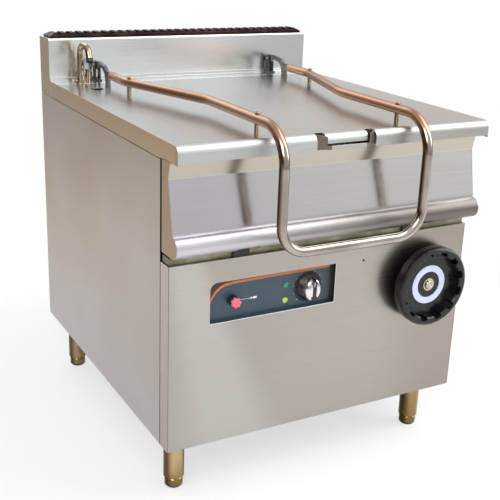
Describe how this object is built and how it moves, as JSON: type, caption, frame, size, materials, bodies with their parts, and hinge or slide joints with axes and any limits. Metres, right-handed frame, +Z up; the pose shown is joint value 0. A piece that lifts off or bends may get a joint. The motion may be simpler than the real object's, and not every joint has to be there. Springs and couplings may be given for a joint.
{
  "type": "tilting bratt pan",
  "caption": "Free-standing stainless tilting bratt pan with a hinged lid, bent tube handle, recessed controls and a handwheel that tilts the pan",
  "frame": {"origin": "centre of the footprint box on the floor", "axes": "+X right seen from the front, +Y to the rear, +Z up"},
  "size_m": [0.8, 0.9782, 0.975],
  "materials": {
    "stainless_sheet": "fine brushed stainless sheet",
    "stainless_tube": "polished stainless tube",
    "dark_steel": "dark forged plate",
    "black_bracket": "black painted",
    "cast_grille": "dark cast, slightly brown",
    "control_slate": "dark slate plate with an orange line",
    "black_plastic": "moulded black",
    "red_plastic": "moulded red",
    "ring_plastic": "pale blue-grey",
    "lamp_green_lens": "green lens",
    "lamp_yellow_lens": "yellow-green lens",
    "zinc_steel": "plain grey steel",
    "gear_steel": "machined steel",
    "bronze": "bronze bush",
    "brass_part": "brass fitting",
    "gearbox_paint": "grey painted casting",
    "element_metal": "heat-tinted sheath",
    "grey_plastic": "moulded grey",
    "foot_steel": "turned stainless"
  },
  "bodies": {
    "root": {"base_tray": "stainless_sheet", "left_side_panel": "stainless_sheet", "right_side_panel": "stainless_sheet", "rear_panel": "stainless_sheet", "front_panel": "stainless_sheet", "control_plate": "control_slate", "thermostat_body": "grey_plastic", "switch_body": "grey_plastic", "lamp_green": "lamp_green_lens", "lamp_yellow": "lamp_yellow_lens", "front_legs": "stainless_tube", "rear_legs": "stainless_tube", "screw_feet": "foot_steel", "corner_posts": "zinc_steel", "front_crossmember": "zinc_steel", "pivot_lug_left": "zinc_steel", "pivot_lug_right": "zinc_steel", "pivot_bushes": "bronze", "splashback": "stainless_sheet", "flue_grille": "cast_grille", "shaft_bearing": "zinc_steel", "gearbox_housing": "gearbox_paint", "gearbox_stand": "zinc_steel", "terminal_box": "grey_plastic", "cable_gland": "grey_plastic", "water_inlet": "brass_part"},
    "pan": {"pan_tub": "stainless_sheet", "pan_front_skin": "stainless_sheet", "pan_end_plate_left": "stainless_sheet", "pan_end_plate_right": "stainless_sheet", "pan_rear_strip": "stainless_sheet", "pouring_spout": "stainless_sheet", "tilt_bracket_left": "zinc_steel", "tilt_bracket_right": "zinc_steel", "tilt_pins": "gear_steel", "tilt_quadrant": "gear_steel", "heating_elements": "element_metal", "heater_cover": "stainless_sheet", "hinge_post_left": "black_bracket", "hinge_post_right": "black_bracket", "hinge_pins": "gear_steel", "tap_body": "stainless_tube"},
    "lid": {"lid_skin": "stainless_sheet", "lid_liner": "stainless_sheet", "lid_handle": "stainless_tube", "handle_standoffs": "stainless_tube", "standoff_screws": "stainless_tube", "hinge_arm_left": "dark_steel", "hinge_arm_right": "dark_steel"},
    "tap_spout_body": {"tap_spout": "stainless_tube"},
    "tap_lever_body": {"tap_lever": "stainless_tube"},
    "handwheel_body": {"handwheel": "black_plastic", "handwheel_ring": "ring_plastic", "handwheel_bolt": "stainless_tube", "worm_shaft": "gear_steel"},
    "pinion_body": {"drive_pinion": "gear_steel", "pinion_shaft": "gear_steel"},
    "thermostat_knob_body": {"thermostat_knob": "black_plastic"},
    "switch_knob_body": {"switch_knob": "red_plastic"}
  },
  "joints": [
    {"name": "pan_tilt", "type": "hinge", "parent": "root", "child": "pan", "pos_m": [0, -0.40487, 0.633], "axis": [1, 0, 0], "range_deg": [0, 60]},
    {"name": "lid_hinge", "type": "hinge", "parent": "pan", "child": "lid", "pos_m": [0, 0.39012, 0.892], "axis": [-1, 0, 0], "range_deg": [0, 85]},
    {"name": "tap_swing", "type": "hinge", "parent": "pan", "child": "tap_spout_body", "pos_m": [-0.325, 0.37212, 0.87], "axis": [0, 0, 1], "range_deg": [-106.25, 0]},
    {"name": "tap_lever_turn", "type": "hinge", "parent": "pan", "child": "tap_lever_body", "pos_m": [-0.305, 0.37212, 0.878], "axis": [0, 0, 1], "range_deg": [0, 90]},
    {"name": "handwheel_turn", "type": "hinge", "parent": "root", "child": "handwheel_body", "pos_m": [0.279, -0.40787, 0.451], "axis": [0, 1, 0], "range_deg": [0, 6685.71]},
    {"name": "pinion_turn", "type": "hinge", "parent": "root", "child": "pinion_body", "pos_m": [0.358, -0.08641, 0.51393], "axis": [1, 0, 0], "range_deg": [-668.57, 0]},
    {"name": "thermostat_turn", "type": "hinge", "parent": "root", "child": "thermostat_knob_body", "pos_m": [-0.045, -0.38788, 0.483], "axis": [0, 1, 0], "range_deg": [0, 270]},
    {"name": "switch_turn", "type": "hinge", "parent": "root", "child": "switch_knob_body", "pos_m": [-0.241, -0.38788, 0.482], "axis": [0, 1, 0], "range_deg": [0, 90]}
  ],
  "couplings": [
    {"joint": "tap_swing", "follows": "lid_hinge", "ratio": -1.25},
    {"joint": "pinion_turn", "follows": "pan_tilt", "ratio": -11.143},
    {"joint": "handwheel_turn", "follows": "pan_tilt", "ratio": 111.43}
  ]
}
